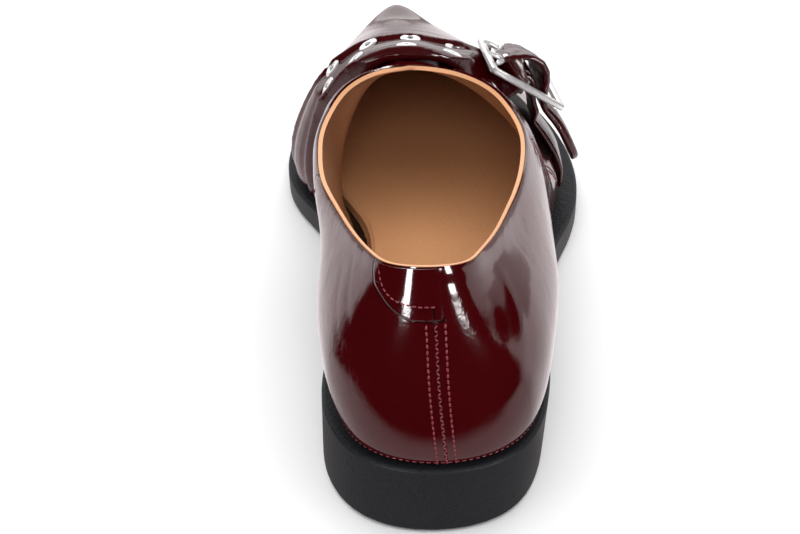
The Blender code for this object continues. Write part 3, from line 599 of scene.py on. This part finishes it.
def stitch_model():
    """One stitch: a short round bar of thread with pulled-in ends, lying along X."""
    bpy.ops.object.select_all(action="DESELECT")
    bpy.ops.mesh.primitive_uv_sphere_add(segments=8, ring_count=6, radius=0.5)
    one = bpy.context.active_object
    bpy.ops.object.mode_set(mode="EDIT")
    bpy.ops.mesh.select_all(action="SELECT")
    bpy.ops.transform.rotate(value=math.radians(90), orient_axis="Y", center_override=(0, 0, 0))
    bpy.ops.object.mode_set(mode="OBJECT")
    for vertex in one.data.vertices:
        vertex.co.x = math.copysign(abs(vertex.co.x * 2) ** 0.7 / 2, vertex.co.x)
    return one


def sew(name, skin, rows, surface):
    """Lays rows of stitches on a skin and joins them.

    Each row has its line, offset, pitch, length, thickness and lean.
    """
    one, laid = stitch_model(), []
    for corners, offset, pitch, length, thick, lean in rows:
        for number, (place, out, ahead) in enumerate(followed(skin, corners, pitch)):
            across = out.cross(ahead).normalized()
            place, out = skin.find_nearest(place + across * offset * MM)[:2]
            ahead = (ahead - out * ahead.dot(out)).normalized()
            ahead = Matrix.Rotation(math.radians(lean if number % 2 else -lean), 3, out) @ ahead
            turned = Matrix((ahead, out.cross(ahead), out)).transposed().to_4x4()
            size = Matrix.Diagonal((length * MM, thick * MM, thick * MM, 1))
            copy = one.copy()
            copy.data = one.data.copy()
            copy.data.transform(Matrix.Translation(place + out * STITCH_SUNK * MM) @ turned @ size)
            bpy.context.scene.collection.objects.link(copy)
            laid.append(copy)
    bpy.data.objects.remove(one)
    bpy.ops.object.select_all(action="DESELECT")
    for copy in laid:
        copy.select_set(True)
    bpy.context.view_layer.objects.active = laid[0]
    bpy.ops.object.join()
    thread = bpy.context.active_object
    thread.name = name
    thread.matrix_world = Matrix.Identity(4)
    smooth(thread)
    keep(thread, None, surface)
    return thread


def waxed_thread():
    made, nodes, links, surface = new_material("waxed burgundy thread")
    grain = grain_in(nodes, 5000.0)
    lit, deep = (0.23, 0.014, 0.028), (0.11, 0.005, 0.011)
    base = colour_between(nodes, links, grain.outputs["Low places"], lit, deep)
    links.new(base, surface.inputs["Base Color"])
    surface.inputs["Roughness"].default_value = 0.45
    links.new(bump_in(nodes, links, grain.outputs["Height"], 0.4, 0.05 * MM), surface.inputs["Normal"])
    return made


HEEL_ROUND, TOE_ROUND = -109.5, 119.0


def wall_round(height):
    """Places round the upper this far above the sole, in MM, from the inner side by the heel to the toe."""
    heel_turns = [math.radians(9 * step) for step in range(21)]
    toe_turns = [math.radians(15 * step) for step in range(1, 12)]
    ways = [(Vector((-1, 0, 0)), y) for y in range(110, -110, -12)]
    ways += [(Vector((-math.cos(turn), -math.sin(turn), 0)), HEEL_ROUND) for turn in heel_turns]
    ways += [(Vector((1, 0, 0)), y) for y in range(-105, 119, 12)]
    ways += [(Vector((math.cos(turn), math.sin(turn), 0)), TOE_ROUND) for turn in toe_turns]
    tread = skin_of(outsole)
    corners = []
    for way, y in [*ways, ways[0]]:
        start = axis_at(y * MM)
        start.z = tread.ray_cast(start, Vector((0, 0, -1)))[0].z + height * MM
        place = outer_skin.ray_cast(start, way)[0]
        inside = start.lerp(place, 0.9)
        place.z = tread.ray_cast(inside, Vector((0, 0, -1)))[0].z + height * MM
        corners.append(tuple(place / MM))
    return corners


THREAD = waxed_thread()
DOWN_THE_BACK = ((-2.0, -139.6, 66.5), (-1.2, -143, 47), (0.6, -141.5, 24), (0.9, -139.5, 19.5))
DOWN_INSIDE = ((-35.5, -57, 60.5), (-36.5, -54, 57), (-40, -42, 42), (-42, -30, 28), (-42.5, -26, 19))
DOWN_OUTSIDE = ((29, -24, 57), (30.5, -22, 54), (35, -8, 42), (39, 8, 28), (41.5, 15, 19))
sew(
    "quarter_stitches",
    outer_skin,
    (
        (DOWN_THE_BACK, 2.5, 1.75, 1.35, 0.62, 5),
        (DOWN_THE_BACK, -2.5, 1.75, 1.35, 0.62, 5),
        (DOWN_THE_BACK, 0.0, 1.2, 1.15, 0.50, 38),
        (DOWN_INSIDE, 1.6, 1.9, 1.35, 0.50, 3),
        (DOWN_OUTSIDE, -1.6, 1.9, 1.35, 0.50, 3),
    ),
    THREAD,
)
sew("feather_stitches", outer_skin, ((wall_round(2.0), 0.0, 1.9, 1.2, 0.36, 0),), THREAD)

# ---------------------------------------------------------------- lining
# Tan leather, glued to the back of the outer leather and trimmed flush with its turned edge. The cut edge
# and the top of its face stay pale tan; the rest is painted darker as shade, and its foot is painted
# near-black as shade in the gap.

LINING_THICK = 1.25 * MM
# Painted shade on the lining's foot, in the gap over the insole: how high it reaches, where it stops at the
# front, how far it fades, and its colour.
GAP_SHADE_TOP, GAP_SHADE_FRONT, GAP_SHADE_FADE = 17.0 * MM, 22.0 * MM, 20.0 * MM
GAP_SHADE = (0.012, 0.008, 0.006)


def tan_leather(name, light, dark, size, edge=None):
    """Tan leather. With an edge colour, it is pale near the collar, and its foot is painted near-black as
    shade.
    """
    made, nodes, links, surface = new_material(name)
    grain = grain_in(nodes, size)
    base = colour_between(nodes, links, grain.outputs["Low places"], light, dark)
    if edge:
        field = nodes.new("ShaderNodeAttribute")
        field.attribute_name = "down_from_collar"
        base = colour_between(nodes, links, ramp(nodes, links, field.outputs["Fac"], 1.3, 1.9), edge, base)
        # Just above the insole, behind the front of the shoe, the foot is painted near-black: shade in the
        # gap over the insole.
        place = nodes.new("ShaderNodeTexCoord").outputs["Object"]
        apart = nodes.new("ShaderNodeSeparateXYZ")
        links.new(place, apart.inputs[0])
        ragged = noise_in(nodes, links, place, 450.0, 2.0)
        height = sum_of(nodes, links, "MULTIPLY_ADD", ragged, 2.4 * MM, apart.outputs["Z"])
        low = ramp(nodes, links, height, GAP_SHADE_TOP, GAP_SHADE_TOP - 0.6 * MM)
        behind = ramp(nodes, links, apart.outputs["Y"], GAP_SHADE_FRONT + GAP_SHADE_FADE, GAP_SHADE_FRONT)
        base = colour_between(nodes, links, sum_of(nodes, links, "MULTIPLY", low, behind), base, GAP_SHADE)
    links.new(base, surface.inputs["Base Color"])
    surface.inputs["Roughness"].default_value = 0.55
    links.new(bump_in(nodes, links, grain.outputs["Height"], 0.25, 0.12 * MM), surface.inputs["Normal"])
    return made


lining = split_upper("lining", False)
finish_with(lining, "SUBSURF", levels=2, render_levels=2)
inner_edge = top_line_of(lining)
finish_with(lining, "SOLIDIFY", thickness=LINING_THICK, offset=-1.0)
field = lining.data.attributes.new("down_from_collar", "FLOAT", "POINT")
for vertex in lining.data.vertices:
    field.data[vertex.index].value = inner_edge.find(vertex.co)[2] / MM
smooth(lining, 60)
# The lining's face is painted darker than its pale edge, as shade on the inner walls.
TAN = tan_leather("tan lining", (0.37, 0.182, 0.088), (0.32, 0.152, 0.072), 900.0, (0.80, 0.40, 0.195))
keep(lining, None, TAN)

# ---------------------------------------------------------------- insole
# A board with a tan leather cover, laid on the turned-in edge of the upper. Under the arch, the cover
# reaches out towards the inner wall and stops short of it, so that a dark slit shows.

SLIT_FROM, SLIT_TO, COVER_OUT, COVER_REACH = -0.034, 0.022, 3.0 * MM, 6.0 * MM

insole = take("insole", "insole_cover")
round_edges(insole, 0.5, 24)
inner_skin = skin_of(lining)
for vertex in insole.data.vertices:
    along = (vertex.co.y - SLIT_FROM) / (SLIT_TO - SLIT_FROM)
    if 0 < along < 1 and vertex.co.x < 0:
        above = Vector((0, vertex.co.y, vertex.co.z + 1 * MM))
        wall = inner_skin.ray_cast(above, Vector((-1, 0, 0)))[0]
        near = max(1 - (vertex.co.x - wall.x) / COVER_REACH, 0.0)
        ragged = 1 + 0.25 * noise.noise(Vector((0, vertex.co.y * 500, 0)))
        vertex.co.x -= COVER_OUT * math.sin(math.pi * along) ** 0.8 * near * ragged
smooth(insole)
FOOTBED_TAN = tan_leather("tan insole", (0.76, 0.385, 0.180), (0.67, 0.335, 0.150), 1100.0)
keep(insole, "insole", FOOTBED_TAN)

# ---------------------------------------------------------------- heel tab
# The end of the outer quarter, lapped over the back seam and stitched down round its curved edge. It thins
# out where it runs into the quarter.

TAB_LIFT, THINNED = 0.30 * MM, 0.85

tab = take("heel_tab", "heel_tab_leather")
round_edges(tab, 0.2, 40)
for vertex in tab.data.vertices:
    foot, out = outer_skin.find_nearest(vertex.co)[:2]
    height = (vertex.co - foot).dot(out) - TAB_LIFT
    thin = 1 - THINNED * clamp((vertex.co.x + 0.006) / 0.006)
    vertex.co = foot + out * max(height * thin, -0.1 * MM)
smooth(tab)
keep(tab, "heel_tab", patent("patent leather of the tab", 3.0, 0.09))
TAB_ROW = ((-17.9, -129, 76), (-17.9, -131, 73.4), (-16.2, -134.2, 71.9), (-13.9, -137.0, 70.5))
TAB_ROW += ((-10.8, -138.9, 70.0), (-6, -140.3, 70.2), (-2.2, -140.8, 70.9))
sew("tab_stitches", skin_of(tab), ((TAB_ROW, 0.0, 1.6, 1.2, 0.52, 0),), THREAD)

# ---------------------------------------------------------------- eyelets
# Nickel-plated rings pressed through the strap in two rows, side by side, with smaller ones at the prongs.
# Each is a low rounded ring that sits in a valley of the padding.


def polished_steel():
    made, nodes, links, surface = new_material("polished steel")
    place = nodes.new("ShaderNodeTexCoord").outputs["Object"]
    marks = nodes.new("ShaderNodeTexNoise")
    marks.inputs["Scale"].default_value = 700.0
    links.new(place, marks.inputs["Vector"])
    surface.inputs["Base Color"].default_value = (0.90, 0.89, 0.89, 1)
    surface.inputs["Metallic"].default_value = 0.62
    level = nodes.new("ShaderNodeMapRange")
    level.inputs["To Min"].default_value = 0.16
    level.inputs["To Max"].default_value = 0.30
    links.new(marks.outputs["Fac"], level.inputs["Value"])
    links.new(level.outputs["Result"], surface.inputs["Roughness"])
    links.new(bump_in(nodes, links, marks.outputs["Fac"], 0.2, 0.05 * MM), surface.inputs["Normal"])
    return made


def seat_of(node):
    """Where a ring sits, the way it faces and its radius: most of its faces lie square to its axis."""
    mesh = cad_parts[node].data
    foot = sum((vertex.co for vertex in mesh.vertices), Vector()) / len(mesh.vertices)
    flat = max(
        (face.normal for face in mesh.polygons),
        key=lambda way: sum(f.area for f in mesh.polygons if abs(f.normal.dot(way)) > 0.999),
    )
    axis = flat.copy() if flat.z > 0 else -flat
    arms = [vertex.co - foot for vertex in mesh.vertices]
    return foot, axis, max((arm - axis * arm.dot(axis)).length for arm in arms)


def facing(place, axis):
    """Puts a piece that is modelled flat at the origin in this place, facing this way."""
    return Matrix.Translation(place) @ axis.to_track_quat("Z", "Y").to_matrix().to_4x4()


STEEL = polished_steel()
RING_SHARE, RING_MIDDLE, RING_HALF, RING_FLAT, RING_LIFT = 0.88, 0.635, 0.365, 0.5, 0.10
TO_THE_HEEL = math.radians(10)
SEATS = {}
for node in [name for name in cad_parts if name.startswith("eyelet")]:
    foot, axis, radius = seat_of(node)
    SEATS[node] = foot, axis, radius
    if "front" in node:
        axis = Matrix.Rotation(TO_THE_HEEL, 3, "X") @ axis
    radius *= RING_SHARE
    middle, half = radius * RING_MIDDLE, radius * RING_HALF
    bpy.ops.object.select_all(action="DESELECT")
    bpy.ops.mesh.primitive_torus_add(
        major_radius=middle, minor_radius=half, major_segments=32, minor_segments=12
    )
    ring = bpy.context.active_object
    ring.name = node.replace("eyelet", "eyelet_ring")
    bpy.ops.object.mode_set(mode="EDIT")
    bpy.ops.mesh.select_all(action="SELECT")
    bpy.ops.transform.resize(value=(1, 1, RING_FLAT), center_override=(0, 0, 0))
    bpy.ops.object.mode_set(mode="OBJECT")
    ring.data.transform(facing(foot + axis * radius * RING_LIFT, axis))
    smooth(ring)
    keep(ring, node, STEEL)

# ---------------------------------------------------------------- strap
# A padded band of the same leather, sewn into three rolls, with the eyelets pressed on in the valleys
# between them. Its back edge is drawn in, and its free end runs through the buckle and off the vamp.

PLUG_DEEP, PLUG_WIDE, PLUG_DOWN = 2.6 * MM, 0.95, 0.54
FADE, DEEP = 8 * MM, 2.65 * MM
STATIONS, STEPS, PAST_THE_LAST = 5, 6, 3.5
BAND_HALF, BAND_HIGH, FACE_LOW = 14 * MM, 6 * MM, -1.4 * MM
DRAWN_IN, DRAWN_FROM, DRAWN_OVER = 0.9 * MM, 6.8, 2.0
BACK_CLEAR, BACK_TOP = 0.1 * MM, 0.5 * MM
ROLLS = (
    # across from the middle, height above the rings' seats, in MM
    (-11.4, -2.4),
    (-10.3, 0.3),
    (-8.9, 1.0),
    (-6.0, 0.0),
    (-3.2, 0.6),
    (0.0, 0.95),
    (3.0, 0.45),
    (6.0, 0.0),
    (8.5, 1.9),
    (9.8, 1.0),
    (10.6, -1.2),
)


def soften(piece, voxel, passes):
    """One even skin over the piece, its corners and facets rubbed soft."""
    finish_with(piece, "REMESH", mode="VOXEL", voxel_size=voxel, use_smooth_shade=True)
    finish_with(piece, "SMOOTH", factor=0.5, iterations=passes)
    smooth(piece)


def roll_height(across):
    """The height of the padding's face at this place across the strap, in MM."""
    for (start, low), (end, high) in zip(ROLLS, ROLLS[1:]):
        if across <= end:
            share = clamp((across - start) / (end - start))
            return low + (high - low) * share * share * (3 - 2 * share)
    return ROLLS[-1][1]


def stations():
    """The middle between the two rows, with the ways across the strap and out of it, on a smooth line."""
    made = []
    for number in range(STATIONS):
        back, out_back, _ = SEATS[f"eyelet_back_{number}"]
        front, out_front, _ = SEATS[f"eyelet_front_{number}"]
        across = (front - back).normalized()
        out = out_back + out_front
        made.append(((back + front) / 2, across, (out - across * out.dot(across)).normalized()))
    made = [[start * 2 - end for start, end in zip(made[0], made[1])], *made]
    made.append([start * 2 - end for start, end in zip(made[-1], made[-2])])
    fine = []
    for four in zip(made, made[1:], made[2:], made[3:]):
        fine += [[between(*column, step / STEPS) for column in zip(*four)] for step in range(STEPS)]
    return [*fine, made[-2]]


def strap_place(point, line):
    """Where a point is on the strap: across it, out of it, and its share in the stretch with rings."""
    best = None
    for (start, across, out), (end, next_across, next_out) in zip(line, line[1:]):
        run = end - start
        along = (point - start).dot(run) / run.length_squared
        share = clamp(along)
        past = abs(along - share) * run.length * (PAST_THE_LAST if along > 1 else 1)
        here = start.lerp(end, share)
        across, out = across.lerp(next_across, share), out.lerp(next_out, share)
        away = (point - here).length + past
        if best is None or away < best[0]:
            best = away, past, here, across.normalized(), out.normalized()
    _, past, here, across, out = best
    return (point - here).dot(across), (point - here).dot(out), max(1 - past / FADE, 0.0), across, out


strap = take("strap", "padded_strap")
plugs = []
for foot, axis, radius in SEATS.values():
    bpy.ops.object.select_all(action="DESELECT")
    bpy.ops.mesh.primitive_cylinder_add(vertices=24, radius=radius * PLUG_WIDE, depth=PLUG_DEEP)
    plug = bpy.context.active_object
    plug.data.transform(facing(foot - axis * PLUG_DEEP * PLUG_DOWN, axis))
    plugs.append(plug)
work_on(strap)
for plug in plugs:
    plug.select_set(True)
bpy.ops.object.join()
soften(strap, 0.45 * MM, 10)
line = stations()
ways = [vertex.normal.copy() for vertex in strap.data.vertices]
for vertex, way in zip(strap.data.vertices, ways):
    across, height, share, side, out = strap_place(vertex.co, line)
    share = share * share * (3 - 2 * share)
    if share and abs(across) < BAND_HALF and abs(height) < BAND_HIGH:
        slid = DRAWN_IN * clamp((-across / MM - DRAWN_FROM) / DRAWN_OVER)
        if height > FACE_LOW and way.dot(out) > -0.1:
            wanted = roll_height((across - slid) / MM) * MM
            vertex.co += (out * (max(wanted, FACE_LOW) - height) - side * slid) * share
        else:
            foot, up_from = outer_skin.find_nearest(vertex.co)[:2]
            clear = max((vertex.co - foot).dot(up_from) - BACK_CLEAR - (height + DEEP), 0.0)
            sunk = clear * clamp((BACK_TOP - height) / (DEEP + BACK_TOP))
            vertex.co -= (out * sunk + side * slid) * share
finish_with(strap, "SMOOTH", factor=0.5, iterations=8)
smooth(strap)
PADDED = patent("padded patent leather", 1.0, 0.24)
keep(strap, "strap", PADDED)

# ---------------------------------------------------------------- short strap
# Two layers of the leather, hooked over the buckle's middle bar, stitched together and caught under the
# upper's edge on the outer side.

hook = take("buckle_strap", "short_strap")
soften(hook, 0.35 * MM, 14)
keep(hook, "buckle_strap", PADDED)

# ---------------------------------------------------------------- buckle
# A cast frame with a middle bar, polished soft at its corners. Two prongs hinge on the bar, and each has its
# point in an eyelet.

buckle = take("buckle_frame", "buckle")
round_edges(buckle, 0.25, 30)
smooth(buckle, 60)
keep(buckle, "buckle_frame", STEEL)
for node in ("prong_back", "prong_front"):
    prong = take(node, node.replace("prong", "buckle_prong"))
    soften(prong, 0.16 * MM, 5)
    keep(prong, node, STEEL)
